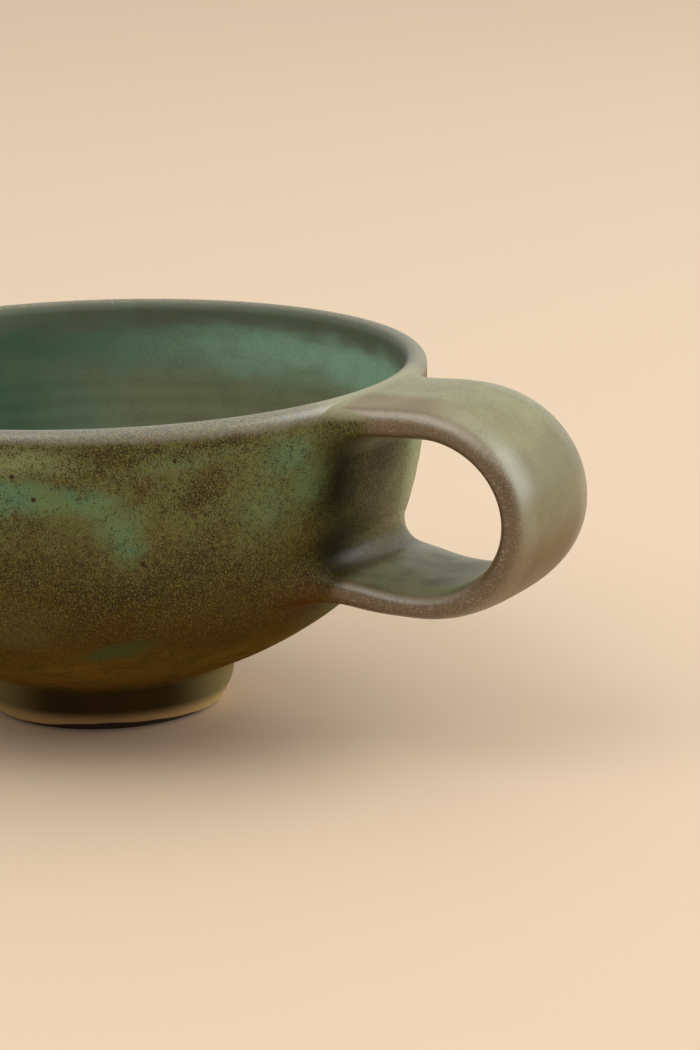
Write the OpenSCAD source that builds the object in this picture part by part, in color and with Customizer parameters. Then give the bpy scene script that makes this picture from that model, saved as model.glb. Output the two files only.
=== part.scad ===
// Stoneware cappuccino cup: a thrown bowl on a turned foot ring, a pulled strap handle
// luted on with slip at two roots, and the coats of glaze that cover them.
// Millimetres, +Z up, handle along +X, origin on the cup's axis where the foot stands.

/* [Bowl] */
// Diameter over the glazed lip
rim_d = 110; // [96:1:124]
// Height from the table to the top of the glazed lip
cup_h = 58.2; // [52:0.2:66]
// Thickness of the clay wall at the lip
lip_t = 2.8; // [2.4:0.1:4]
// Thickness of the clay floor on the axis
floor_t = 5; // [4:0.1:8]
// Height of the bowl's underside above the table, on the axis
underside_z = 4.9; // [3.5:0.1:7]
// Radius of the rounded belly, outside
belly_r = 27; // [21:0.5:32]
// Slope from upright where the tall upper wall ends
wall_turn = 19; // [16:0.5:22]
// Slope from upright where the belly ends and the flat underside begins
belly_turn = 51; // [48:0.5:54]

/* [Foot ring] */
// Diameter of the circle the foot stands on
stand_d = 36.2; // [32:0.2:38]
// Diameter of the foot where its round edge would come to a corner
foot_d = 41.6; // [39:0.2:44]
// Diameter of the recess inside the foot
recess_d = 27; // [22:0.5:30]
// Height of that corner above the table
edge_h = 2.5; // [1.6:0.1:3.2]
// Height of the glaze line on the round edge, with bare clay below it
glaze_line = 0.8; // [0.6:0.1:1.1]
// How much the foot widens from its edge up to its neck
foot_lean = 0.7; // [0:0.1:1.2]
// Width of the hollow where the foot runs into the bowl
foot_flare = 1.6; // [0.6:0.1:2.5]

/* [Handle] */
// Distance out from the lip to the middle of the strap at its furthest
handle_reach = 27.8; // [21:0.2:37]
// Distance out from the lip to the top of the curl
crown_reach = 11.8; // [8:0.2:15]
// Distance out from the lip to the bottom of the curl
heel_reach = 11.4; // [8:0.2:17]
// Depth of the upper root's middle below the top of the lip
upper_root_drop = 3; // [2.8:0.1:9]
// Depth of the middle of the strap below the top of the lip, at the top of the curl
crown_drop = 2.6; // [0:0.1:6]
// Depth of the middle of the strap below the top of the lip, at its furthest
bend_drop = 17; // [13:0.2:20]
// Depth of the middle of the strap below the top of the lip, at the bottom of the curl
heel_drop = 31.5; // [27:0.1:34]
// Depth of the lower root's middle below the top of the lip
lower_root_drop = 30; // [27:0.2:33]
// Width of the clay strap at its narrowest
strap_w = 25; // [16:0.2:28]
// Thickness of the clay strap
strap_t = 5; // [3:0.1:5.5]
// Widening of each side where the strap broadens towards the upper root
upper_flare = 1.2; // [0.6:0.1:3]
// Widening of each side where the strap broadens towards the lower root
lower_flare = 2.2; // [1:0.1:4]
// Length of strap over which it broadens
flare_len = 30; // [20:1:36]
// Radius of the fillet smoothed under the upper root, inside the loop
upper_fillet = 3.6; // [2.6:0.2:6]
// Radius of the fillet smoothed beside the upper root
upper_side_fillet = 3; // [2:0.2:6]
// Radius of the fillet smoothed over the lower root, inside the loop
lower_fillet = 5; // [3:0.2:7]
// Radius of the fillet smoothed beside the lower root
lower_side_fillet = 6.6; // [4:0.2:9]
// Radius of the fillet smoothed under the lower root
under_fillet = 1.4; // [1:0.1:4]
// Roundness of the curl, where 0.55 is a circle and more is squarer
curl_fullness = 0.55; // [0.5:0.01:0.65]

/* [Glaze and slip] */
// Thickness of the fired glaze, and of the slip layer under each root
glaze_t = 0.4; // [0.3:0.05:0.6]
// Clearance between a root's cut face and the layer it sits on
seat_gap = 0.03; // [0.02:0.01:0.1]

/* [Hidden] */
$fn = 128;

// Steps along each curve of an outline, around the strap, along it and across a root
lip_steps = 14;
wall_steps = 8;
belly_steps = 12;
under_steps = 8;
foot_steps = 8;
bare_steps = 3;
section_sides = 24;
bend_steps = 10;
cap_rings = 4;
// Squareness of the strap's section, where 2 is an ellipse
section_power = 3.2;
// Slope on the lip's roundness that a root may climb to, and slope that a fillet reaches at the wall
root_turn = 72;
fillet_turn = 72;

clay_r = rim_d / 2 - glaze_t;
lip_r = lip_t / 2;
lip_z = cup_h - glaze_t - lip_r;
outer_arcs = bowl_arcs(clay_r, underside_z, belly_r);
inner_arcs = bowl_arcs(clay_r - lip_t, underside_z + floor_t, belly_r - lip_t);
under_c = outer_arcs[2][0];
under_r = outer_arcs[2][1];
join_r = foot_d / 2 + foot_lean + foot_flare;
join_slope = under_slope(join_r);
recess_slope = under_slope(recess_d / 2);
foot_join = under_c + under_r * [cos(join_slope), -sin(join_slope)];
foot_neck = foot_join - foot_flare * [1, 1 / tan(join_slope)];
foot_edge = [foot_d / 2, edge_h];
foot_middle = (foot_edge + foot_neck) / 2;
edge_curve = [[stand_d / 2, 0], foot_edge, foot_middle];
hollow_curve = [foot_middle, foot_neck, foot_join];
line_u = glaze_line / (edge_h + sqrt(pow(edge_h, 2) + (foot_middle[1] - 2 * edge_h) * glaze_line));
upper_root = wall_place(cup_h - upper_root_drop);
lower_root = wall_place(cup_h - lower_root_drop);
crown = [rim_d / 2 + crown_reach, cup_h - crown_drop];
bend = [rim_d / 2 + handle_reach, cup_h - bend_drop];
heel = [rim_d / 2 + heel_reach, cup_h - heel_drop];

// Three arcs that run tangent from an upright rim to a level bottom on the axis, as [centre, radius].
// The middle radius is given and the other two are solved from the rim's radius and the depth.
function bowl_arcs(rim_r, low_z, mid_r) =
    let (
        c1 = cos(wall_turn), s1 = sin(wall_turn),
        c2 = cos(belly_turn), s2 = sin(belly_turn),
        across = rim_r - mid_r * (c1 - c2),
        down = lip_z - low_z + mid_r * (s1 - s2),
        det = (1 - c1) * (1 - s2) - c2 * s1,
        r1 = (across * (1 - s2) - c2 * down) / det,
        r3 = ((1 - c1) * down - s1 * across) / det,
        p1 = [rim_r - r1, lip_z],
        p2 = p1 + (r1 - mid_r) * [c1, -s1],
        p3 = p2 + (mid_r - r3) * [c2, -s2]
    )
    [[p1, r1], [p2, mid_r], [[0, p3[1]], r3]];

// Points on an arc, by the slope from upright of its tangent, without the first point
function arc_after(arc, shift, from, to, steps) =
    [for (i = [1:steps])
        let (a = from + (to - from) * i / steps)
        arc[0] + (arc[1] + shift) * [cos(a), -sin(a)]];

// The upper wall and belly from the lip down, moved out by shift
function wall_path(arcs, shift) = concat(
    [arcs[0][0] + [arcs[0][1] + shift, 0]],
    arc_after(arcs[0], shift, 0, wall_turn, wall_steps),
    arc_after(arcs[1], shift, wall_turn, belly_turn, belly_steps));

// Points over the rounded lip between two angles, without the two ends
function lip_path(shift, from, to) =
    [for (i = [1:lip_steps - 1])
        let (a = from + (to - from) * i / lip_steps)
        [clay_r - lip_r, lip_z] + (lip_r + shift) * [cos(a), sin(a)]];

function reversed(list) = [for (i = [len(list) - 1:-1:0]) list[i]];

// Slope from upright of the bowl's underside at a radius
function under_slope(r) = acos(r / under_r);

// Points on a parabola that leaves and ends along the sides of its corner, moved out by shift
function parabola(p, u, shift) =
    let (way = (1 - u) * (p[1] - p[0]) + u * (p[2] - p[1]))
    pow(1 - u, 2) * p[0] + 2 * u * (1 - u) * p[1] + u * u * p[2] + shift * [way[1], -way[0]] / norm(way);

// Outside of the foot from the glaze line up round its edge and through the hollow, without the last point
function foot_path(shift) = concat(
    [for (i = [0:foot_steps]) parabola(edge_curve, line_u + (1 - line_u) * i / foot_steps, shift)],
    [for (i = [1:foot_steps - 1]) parabola(hollow_curve, i / foot_steps, shift)]);

// Radius of the bowl's outside at a height, moved out by shift
function wall_r(z, shift) =
    let (
        turn_z = outer_arcs[0][0][1] - (outer_arcs[0][1] + shift) * sin(wall_turn),
        belly_z = outer_arcs[1][0][1] - (outer_arcs[1][1] + shift) * sin(belly_turn),
        arc = z > lip_z ? [[clay_r - lip_r, lip_z], lip_r] : outer_arcs[z > turn_z ? 0 : z > belly_z ? 1 : 2],
        top_z = lip_z + (lip_r + shift) * sin(root_turn),
        rise = min(z, top_z) - arc[0][1]
    )
    arc[0][0] + sqrt(pow(arc[1] + shift, 2) - rise * rise);

// Where a root sits on the wall at a height, and the distance out to it along X beside the XZ plane
function wall_place(z) = [wall_r(z, glaze_t + seat_gap), z];
function wall_x(y, z) = sqrt(pow(wall_place(z)[0], 2) - y * y);

// A cubic through two ends and two handles, and its direction
function cubic(p, u) =
    pow(1 - u, 3) * p[0] + 3 * u * pow(1 - u, 2) * p[1]
    + 3 * u * u * (1 - u) * p[2] + pow(u, 3) * p[3];
function cubic_way(p, u) =
    pow(1 - u, 2) * (p[1] - p[0]) + 2 * u * (1 - u) * (p[2] - p[1]) + u * u * (p[3] - p[2]);

// The strap's middle line: out from the wall, over the crown, round the bend, under the heel and back
upper_line = [level_run(upper_root, crown), quarter_turn(crown, bend, true)];
lower_line = [quarter_turn(bend, heel, false), level_run(heel, lower_root)];
strap_line = concat(upper_line, lower_line);
last_run = len(strap_line) - 1;
function level_run(a, b) = [a, a + [(b[0] - a[0]) / 2, 0], b - [(b[0] - a[0]) / 2, 0], b];
function quarter_turn(a, b, level_first) =
    let (x = [b[0] - a[0], 0] * curl_fullness, z = [0, b[1] - a[1]] * curl_fullness)
    level_first ? [a, a + x, b - z, b] : [a, a + z, b - x, b];

// Places along the middle line as [run, share of the run], closer together towards the two roots
stations = concat(
    [for (i = [0:bend_steps - 1]) [0, pow(i / bend_steps, 2)]],
    [for (run = [1:last_run - 1]) for (i = [0:bend_steps - 1]) [run, i / bend_steps]],
    [for (i = [0:bend_steps]) [last_run, 1 - pow(1 - i / bend_steps, 2)]]);

// How near a place on the middle line is to a root: 1 at the root, 0 past the given length
function nearness(c, root, length) = max(0, 1 - norm(c - root) / length);

// Growth of the strap by a round fillet that starts its radius away from the wall
function fillet(c, root, radius) =
    radius * (1 - sqrt(1 - pow(sin(fillet_turn) * nearness(c, root, radius), 2)));

// One ring of the strap, grown by shift: a rounded section square to the middle line,
// filleted at the roots and drawn along X to lie on the wall at each end
function strap_ring(station, shift) =
    let (
        c = cubic(strap_line[station[0]], station[1]),
        way = cubic_way(strap_line[station[0]], station[1]),
        along = way / norm(way),
        outward = [-along[1], along[0]],
        up_root = station[0] < len(upper_line),
        root = up_root ? upper_root : lower_root,
        flare = (up_root ? upper_flare : lower_flare) * pow(nearness(c, root, flare_len), 2),
        beside = fillet(c, root, up_root ? upper_side_fillet : lower_side_fillet),
        half_w = strap_w / 2 + flare + beside + shift,
        out_t = strap_t / 2 + (up_root ? 0 : fillet(c, root, under_fillet)) + shift,
        in_t = strap_t / 2 + fillet(c, root, up_root ? upper_fillet : lower_fillet) + shift,
        draw = pow(nearness(c, root, flare_len), 3)
    )
    [for (i = [0:section_sides - 1])
        let (
            a = 360 * i / section_sides,
            y = half_w * rounded(cos(a)),
            n = (sin(a) > 0 ? out_t : in_t) * rounded(sin(a)),
            p = c + n * outward
        )
        [p[0] + draw * (wall_x(y, p[1]) - root[0]), y, p[1]]];
function rounded(v) = sign(v) * pow(abs(v), 2 / section_power);

// A ring drawn in towards the middle of a root, lying on the wall
function root_ring(ring, root, share) =
    [for (p = ring)
        let (y = p[1] * share, z = root[1] + (p[2] - root[1]) * share)
        [wall_x(y, z), y, z]];

first_ring = strap_ring(stations[0], 0);
last_ring = strap_ring(stations[len(stations) - 1], 0);

// Triangles between each ring of points and the next, round a tube
function tube_faces(count, closed) =
    let (m = section_sides)
    [for (k = [0:count - (closed ? 1 : 2)]) for (i = [0:m - 1])
        let (
            a = k * m + i,
            b = k * m + (i + 1) % m,
            c = (k + 1) % count * m + i,
            d = (k + 1) % count * m + (i + 1) % m
        )
        each [[a, b, d], [a, d, c]]];

// Triangles from one ring to a point
function fan_faces(ring, point, flip) =
    let (m = section_sides)
    [for (i = [0:m - 1])
        let (a = ring * m + i, b = ring * m + (i + 1) % m)
        flip ? [b, a, point] : [a, b, point]];

module turned(outline) {
    rotate_extrude() polygon(outline);
}

// The footprint of a root, run along X through the wall
module root_prism(ring) {
    rotate([90, 0, 90]) linear_extrude(rim_d) polygon([for (p = ring) [p[1], p[2]]]);
}

// The whole outside coat, from the crest of the lip down to the glaze line on the foot
module outer_coat() {
    turned(concat(
        [[clay_r - lip_r, lip_z + lip_r + glaze_t]],
        lip_path(glaze_t, 90, 0),
        wall_path(outer_arcs, glaze_t),
        arc_after(outer_arcs[2], glaze_t, belly_turn, join_slope, under_steps),
        reversed(foot_path(glaze_t)),
        foot_path(0),
        reversed(arc_after(outer_arcs[2], 0, belly_turn, join_slope, under_steps)),
        reversed(wall_path(outer_arcs, 0)),
        lip_path(0, 0, 90),
        [[clay_r - lip_r, lip_z + lip_r]]));
}

// Thrown bowl: rounded lip, upright wall, round belly and a dished floor
module bowl() {
    color("sienna") turned(concat(
        wall_path(outer_arcs, 0),
        arc_after(outer_arcs[2], 0, belly_turn, join_slope, under_steps),
        arc_after(outer_arcs[2], 0, join_slope, recess_slope, under_steps),
        arc_after(outer_arcs[2], 0, recess_slope, 90, under_steps),
        reversed(arc_after(inner_arcs[2], 0, belly_turn, 90, under_steps)),
        reversed(wall_path(inner_arcs, 0)),
        lip_path(0, 180, 0)));
}

// Turned foot: a bare ring to stand on, a round edge, a hollow, and a top that follows the bowl's underside
module foot_ring() {
    color("saddlebrown") turned(concat(
        [for (i = [0:bare_steps - 1]) parabola(edge_curve, line_u * i / bare_steps, 0)],
        foot_path(0),
        [foot_join],
        arc_after(outer_arcs[2], 0, join_slope, recess_slope, under_steps),
        [[recess_d / 2, 0]]));
}

// Pulled strap, curled into a loop, with a flared root at each end cut to the wall
module handle() {
    upper_cap = [for (k = [1:cap_rings - 1]) root_ring(first_ring, upper_root, k / cap_rings)];
    lower_cap = [for (k = [cap_rings - 1:-1:1]) root_ring(last_ring, lower_root, k / cap_rings)];
    rings = concat(upper_cap, [for (s = stations) strap_ring(s, 0)], lower_cap);
    middles = [for (root = [upper_root, lower_root]) [root[0], 0, root[1]]];
    points = concat([for (r = rings) each r], middles);
    color("peru") polyhedron(points, concat(
        tube_faces(len(rings), false),
        fan_faces(0, len(points) - len(middles), true),
        fan_faces(len(rings) - 1, len(points) - 1, false)), convexity = 6);
}

// Layer of slip that holds the upper root to the wall
module upper_slip_joint() {
    color("tan") intersection() {
        outer_coat();
        root_prism(first_ring);
    }
}

// Layer of slip that holds the lower root to the wall
module lower_slip_joint() {
    color("tan") intersection() {
        outer_coat();
        root_prism(last_ring);
    }
}

// Poured coat inside the bowl, up to the crest of the lip
module inner_glaze() {
    color("darkslategray") turned(concat(
        [[clay_r - lip_r, lip_z + lip_r]],
        lip_path(0, 90, 180),
        wall_path(inner_arcs, 0),
        arc_after(inner_arcs[2], 0, belly_turn, 90, under_steps),
        reversed(arc_after(inner_arcs[2], -glaze_t, belly_turn, 90, under_steps)),
        reversed(wall_path(inner_arcs, -glaze_t)),
        lip_path(glaze_t, 180, 90),
        [[clay_r - lip_r, lip_z + lip_r + glaze_t]]));
}

// Dipped coat outside, open where the two roots are luted to the clay
module outer_glaze() {
    color("darkolivegreen") difference() {
        outer_coat();
        root_prism(first_ring);
        root_prism(last_ring);
    }
}

// Dipped coat round the strap, ending on the outside coat at both roots
module handle_glaze() {
    count = len(stations);
    rings = concat(
        [for (s = stations) strap_ring(s, glaze_t)],
        [for (i = [count - 1:-1:0]) strap_ring(stations[i], 0)]);
    color("olivedrab") polyhedron([for (r = rings) each r], tube_faces(len(rings), true), convexity = 8);
}

bowl();
foot_ring();
handle();
upper_slip_joint();
lower_slip_joint();
inner_glaze();
outer_glaze();
handle_glaze();
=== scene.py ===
# %% [markdown]
# # A stoneware cappuccino cup
#
# The cup is a thrown bowl on a turned foot, with a pulled strap handle, under a satin glaze that
# turns from green to brown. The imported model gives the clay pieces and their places. This script
# keeps the clay as it is and makes the three coats of glaze again, finer, because the glaze is
# nearly all that one sees of a glazed cup.

import bpy
import numpy as np
from mathutils import Matrix, Vector


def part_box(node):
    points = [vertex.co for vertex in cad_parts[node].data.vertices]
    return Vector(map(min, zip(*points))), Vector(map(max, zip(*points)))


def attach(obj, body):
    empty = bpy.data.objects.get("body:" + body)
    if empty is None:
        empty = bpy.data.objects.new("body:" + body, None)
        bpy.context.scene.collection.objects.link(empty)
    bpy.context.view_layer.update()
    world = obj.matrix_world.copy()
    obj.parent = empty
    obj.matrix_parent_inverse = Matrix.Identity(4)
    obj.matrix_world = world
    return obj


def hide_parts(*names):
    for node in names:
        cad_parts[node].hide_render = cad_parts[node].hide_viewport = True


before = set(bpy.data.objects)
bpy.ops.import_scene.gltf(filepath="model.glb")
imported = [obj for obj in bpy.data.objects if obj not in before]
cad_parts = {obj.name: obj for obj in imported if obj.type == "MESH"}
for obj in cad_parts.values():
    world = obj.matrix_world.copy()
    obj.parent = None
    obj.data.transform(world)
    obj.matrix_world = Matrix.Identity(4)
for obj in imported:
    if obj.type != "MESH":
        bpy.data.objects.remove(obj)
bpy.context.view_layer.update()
print("nodes:", ", ".join(sorted(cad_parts)))

# %% [markdown]
# ## The bowl's outline
#
# Shapes are worked out in millimetres, as a potter would measure them, and turned into metres when
# they become meshes. The wall is three arcs that run on from each other: a tall upper wall, a round
# belly and a wide underside. The middle radius is chosen, and the other two follow from the width
# and the depth, so the outline has no kink anywhere. A curve drawn by eye would look as good, but
# these arcs lie on the packed clay everywhere.

# %% Sizes of the bowl
MM = 0.001
low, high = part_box("outer_glaze")
RIM_R = -low.x / MM
CUP_H = high.z / MM
LIP_T = 2.8
FLOOR_T = 5.0
UNDERSIDE_Z = 4.9
BELLY_R = 27.0
# Slopes in degrees where the wall meets the belly, and the belly meets the underside
WALL_TURN = 19.0
BELLY_TURN = 51.0
GLAZE_T = 0.4
CLAY_R = RIM_R - GLAZE_T
LIP_R = LIP_T / 2
LIP_Z = CUP_H - GLAZE_T - LIP_R
print(f"lip radius {RIM_R:.2f} mm, height {CUP_H:.2f} mm")


# %% The three arcs
def bowl_arcs(rim_r, low_z, mid_r):
    """Centres and radii of three tangent arcs, from an upright rim to a level bottom on the axis.

    Each centre lies in line with the last one and the point where their arcs meet. The first and last
    radius solve two equations: the steps across and down add up to the rim's radius and the depth.
    """
    c1, s1 = np.cos(np.radians(WALL_TURN)), np.sin(np.radians(WALL_TURN))
    c2, s2 = np.cos(np.radians(BELLY_TURN)), np.sin(np.radians(BELLY_TURN))
    across = rim_r - mid_r * (c1 - c2)
    down = LIP_Z - low_z + mid_r * (s1 - s2)
    det = (1 - c1) * (1 - s2) - c2 * s1
    r1 = (across * (1 - s2) - c2 * down) / det
    r3 = ((1 - c1) * down - s1 * across) / det
    p1 = np.array([rim_r - r1, LIP_Z])
    p2 = p1 + (r1 - mid_r) * np.array([c1, -s1])
    p3 = p2 + (mid_r - r3) * np.array([c2, -s2])
    return [(p1, r1), (p2, mid_r), (np.array([0.0, p3[1]]), r3)]


OUTER = bowl_arcs(CLAY_R, UNDERSIDE_Z, BELLY_R)
INNER = bowl_arcs(CLAY_R - LIP_T, UNDERSIDE_Z + FLOOR_T, BELLY_R - LIP_T)
print("radii of the outside arcs, mm:", [round(float(r), 1) for _, r in OUTER])


# %% Points along an outline
def arc(centre, radius, start, end, count):
    """Points of a circle by slope a in degrees: centre + radius (cos a, -sin a), from start to end."""
    a = np.radians(np.linspace(start, end, count))
    return np.asarray(centre) + radius * np.stack([np.cos(a), -np.sin(a)], axis=1)


def parabola(corners, u, shift):
    """Points of a parabola inside a corner, moved out by shift, with its ways along and out."""
    start, corner, end = corners
    u = u[..., None]
    way = (1 - u) * (corner - start) + u * (end - corner)
    way = way / np.linalg.norm(way, axis=-1, keepdims=True)
    out = np.stack([way[..., 1], -way[..., 0]], axis=-1)
    place = (1 - u) ** 2 * start + 2 * u * (1 - u) * corner + u**2 * end
    return place + np.asarray(shift)[..., None] * out, way, out


def wall_outline(arcs, shift, end, counts):
    """The three arcs one after the other, each moved out by shift, from the lip to the last slope."""
    turns = [0, WALL_TURN, BELLY_TURN, end]
    runs = [
        arc(centre, radius + shift, turns[i], turns[i + 1], counts[i])[min(i, 1):]
        for i, (centre, radius) in enumerate(arcs)
    ]
    return np.concatenate(runs)


def lip_outline(shift, start, end, count):
    """The rounded lip between two slopes, where -90 is its crest and 0 its outer side."""
    return arc((CLAY_R - LIP_R, LIP_Z), LIP_R + shift, start, end, count)


# %% [markdown]
# ## From a grid of points to a mesh
#
# Each coat of glaze is a thin closed shell. Its points come as a grid: the rows follow an outline
# and the columns go round. A grid makes tidy four-sided faces that shade smoothly, and the whole
# grid is placed in one step. Where an outline starts and ends beside the axis, one point on the axis
# closes the mesh. The signed volume shows whether the faces point outwards, and turns them if not.


# %% Faces of a grid
def grid_faces(rows, cols, poles):
    """Quads of a grid whose columns join round. Its rows join round too, or end in two poles."""
    number = np.arange(rows * cols).reshape(rows, cols)
    beside = np.roll(number, -1, axis=1)
    last = rows - 1 if poles else rows
    below, below_beside = np.roll(number, -1, axis=0), np.roll(beside, -1, axis=0)
    quads = np.stack([number, beside, below_beside, below], axis=-1)[:last].reshape(-1, 4)
    fans = np.empty((0, 3), int)
    if poles:
        top = np.stack([beside[0], number[0], np.full(cols, rows * cols)], axis=1)
        bottom = np.stack([number[-1], beside[-1], np.full(cols, rows * cols + 1)], axis=1)
        fans = np.concatenate([top, bottom])
    return quads, fans


# %% A closed skin over a grid
SHARP = np.radians(50)


def skin(name, grid, shares, poles=False):
    """A smooth closed mesh over a grid of points in millimetres, with its shares as attributes."""
    rows, cols = grid.shape[:2]
    quads, fans = grid_faces(rows, cols, poles)
    points = grid.reshape(-1, 3)
    if poles:
        points = np.concatenate([points, grid[:1].mean(axis=1), grid[-1:].mean(axis=1)])
    a, b, c, d = (points[quads[:, i]] for i in range(4))
    volume = (np.cross(a, b) * c + np.cross(a, c) * d).sum() / 6
    if volume < 0:
        quads, fans = quads[:, ::-1], fans[:, ::-1]
    mesh = bpy.data.meshes.new(name)
    mesh.from_pydata((points * MM).tolist(), [], quads.tolist() + fans.tolist())
    mesh.set_sharp_from_angle(angle=SHARP)
    for share, values in shares.items():
        values = np.broadcast_to(values, (rows, cols)).reshape(-1)
        values = np.concatenate([values, [values[0], values[-1]]])[: len(points)]
        mesh.attributes.new(share, "FLOAT", "POINT").data.foreach_set("value", values.astype(np.float32))
    piece = bpy.data.objects.new(name, mesh)
    bpy.context.scene.collection.objects.link(piece)
    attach(piece, "root")
    print(f"{name}: {len(mesh.polygons)} faces, {abs(volume) / 1000:.2f} ml of glaze")
    return piece


# %% [markdown]
# ## What the hand leaves
#
# A thrown bowl is never quite true. The lip rises a little on one side, and the fingers leave slow
# rings that climb round the wall. A Displace modifier could do it, but here both are small waves in
# the formula, so their direction is known. The rings thicken the glaze and the lip's rise leads away
# from the clay, so the clay inside never shows through.

# %% Waves of the hand
LIFT = 0.45
LIFT_FROM = 30.0
LIFT_TOWARDS = np.radians(-30)
RING_DEPTH = 0.05
RING_STEP = 3.4


def smooth(value, start, end):
    """0 before start and 1 after end, with a soft rise between."""
    t = np.clip((value - start) / (end - start), 0, 1)
    return t * t * (3 - 2 * t)


def lifted(points, share=1.0):
    """Points raised by a slow wave round the cup: most on one side and at the lip, nothing at the belly.

    The share scales the rise, so that a part of a grid can stay where it is.
    """
    round_cup = np.arctan2(points[..., 1], points[..., 0])
    grown = smooth(points[..., 2], LIFT_FROM, CUP_H)
    rise = share * LIFT * grown * (0.5 + 0.5 * np.cos(round_cup - LIFT_TOWARDS))
    return points + np.stack([0 * rise, 0 * rise, rise], axis=-1)


def rings(z, round_cup):
    """Height of the throwing rings: a wave in height that climbs one ring in each turn."""
    return RING_DEPTH * (0.5 + 0.5 * np.sin(2 * np.pi * z / RING_STEP + round_cup))


# %% [markdown]
# ## The outside coat
#
# The bowl was dipped, so one coat runs from the crest of the lip down to a line on the foot, where
# the glaze was wiped off and drew back into a soft bead. A lathe modifier could turn one outline, but
# here the glaze line wanders up and down on the foot's round edge. So the rows near that line are
# worked out for each column by itself: a point slides along the foot's curve to where the line is.

# %% Curves of the foot
STAND_R = 18.1
FOOT_R = 20.8
EDGE_H = 2.5
FOOT_LEAN = 0.7
FOOT_FLARE = 1.6
under_centre, under_radius = OUTER[2]
JOIN_SLOPE = np.degrees(np.arccos((FOOT_R + FOOT_LEAN + FOOT_FLARE) / under_radius))
foot_join = arc(under_centre, under_radius, JOIN_SLOPE, JOIN_SLOPE, 1)[0]
foot_neck = foot_join - FOOT_FLARE * np.array([1, 1 / np.tan(np.radians(JOIN_SLOPE))])
foot_edge = np.array([FOOT_R, EDGE_H])
foot_middle = (foot_edge + foot_neck) / 2
edge_curve = np.array([[STAND_R, 0.0], foot_edge, foot_middle])
hollow_curve = np.array([foot_middle, foot_neck, foot_join])
print(f"the foot's neck is {foot_neck[1]:.2f} mm above the table")

# %% The glaze line
COLUMNS = 360
GLAZE_LINE = 0.8
WANDER = 0.22
# On the side that faces the camera the glaze line rises, so that a wider ring of dark bare clay shows
# there: bare clay that also stands in for the shadow in the gap under the foot
SHADE_BAND_RISE = 1.2
SHADE_BAND_TOWARDS = np.radians(-56)
SHADE_BAND_WIDTH = 0.3
# Rises round the foot, height and start of each wave in the line
LINE_WAVES = [(3, 1.0, 0.6), (7, 0.6, 0.0), (17, 0.5, 2.0)]
around = np.linspace(0, 2 * np.pi, COLUMNS, endpoint=False)
line_wave = sum(height * np.sin(rises * around + start) for rises, height, start in LINE_WAVES)
line_wave = line_wave / sum(height for _, height, _ in LINE_WAVES)
drawn = np.exp((np.cos(around - SHADE_BAND_TOWARDS) - 1) / SHADE_BAND_WIDTH)
line_z = GLAZE_LINE + SHADE_BAND_RISE * drawn - WANDER * line_wave
line_u = line_z / (EDGE_H + np.sqrt(EDGE_H**2 + (foot_middle[1] - 2 * EDGE_H) * line_z))
print(f"bare clay below {line_z.min():.2f} to {line_z.max():.2f} mm")

# %% Rows of the outside coat
BEAD = 0.16
BEAD_LEN = 1.2


def turned(points):
    """An outline repeated for each column."""
    return np.repeat(points[:, None], COLUMNS, axis=1)


lip = lip_outline(GLAZE_T, -90, 0, 24)
wall = wall_outline(OUTER, GLAZE_T, JOIN_SLOPE, (64, 48, 26))
hollow = parabola(hollow_curve, np.linspace(1, 0, 18), GLAZE_T)[0]
face = np.concatenate([lip[:-1], wall, hollow[1:]])
edge_u = line_u + (1 - line_u) * np.linspace(1, 0, 30)[1:, None]
above_line = parabola(edge_curve, edge_u, 0.0)[0][..., 1] - line_z
swell = BEAD * np.exp(-((above_line / BEAD_LEN) ** 2))
edge_face = parabola(edge_curve, edge_u, GLAZE_T + swell)[0]
line_end, line_way, line_out = parabola(edge_curve, line_u, 0.0)
bead_half = (GLAZE_T + BEAD) / 2
bead_turn = np.radians(np.linspace(90, -90, 9))[1:, None, None]
bead = line_end + bead_half * (line_out * (1 + np.sin(bead_turn)) - line_way * np.cos(bead_turn))
edge_back = parabola(edge_curve, edge_u[-6::-6], 0.0)[0]
back = np.concatenate([
    parabola(hollow_curve, np.linspace(0, 1, 8), 0.0)[0],
    wall_outline(OUTER, 0, JOIN_SLOPE, (10, 12, 8))[-2::-1],
    lip_outline(0, -90, 0, 8)[-2::-1],
])
outline = np.concatenate([turned(face), edge_face, bead, edge_back, turned(back)])
print("rows in the outside coat:", len(outline))

# %% Where the strap joins the lip
STRAP_SIDES = (11, 20)
STRAP_FROM = (40, 48)


def by_strap(points):
    """How near a point is to the lip where the strap joins it: 1 beside the strap, 0 round the rest."""
    return (1 - smooth(np.abs(points[..., 1]), *STRAP_SIDES)) * smooth(points[..., 0], *STRAP_FROM)


# %% The outside coat
RINGS_FROM = (9, 20)
RINGS_TO = (44, 52)
BLOOM_DEPTH = 2.15
BLOOM_WAVE = 0.4
BLOOM_START = np.radians(150)
BLOOM_FADE = (-1.7, -0.4)
r, z = outline[..., 0], outline[..., 1]
is_face = (np.arange(len(outline)) < len(face))[:, None]
ring_fade = smooth(z, *RINGS_FROM) * (1 - smooth(z, *RINGS_TO))
r = r + rings(z, around) * ring_fade * is_face
outside = lifted(np.stack([r * np.cos(around), r * np.sin(around), z], axis=-1))
lip_depth = BLOOM_DEPTH + BLOOM_WAVE * np.sin(3 * around + BLOOM_START)
lip_edge = smooth((z - CUP_H) / lip_depth, *BLOOM_FADE) * is_face
outer_coat = skin("outer_glaze_coat", outside, {"edge": lip_edge, "sage": by_strap(outside)})
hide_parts("outer_glaze")

# %% [markdown]
# ## The inside coat
#
# Glaze was poured in and swirled, so it covers the bowl from the middle of the floor to the crest of
# the lip, where it meets the outside coat. The outline starts and ends beside the axis, so the mesh
# has a pole in the middle of the floor and another on the clay below it. A lathe would turn this
# outline as well, but the climbing rings and the rising lip need each column by itself.

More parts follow.
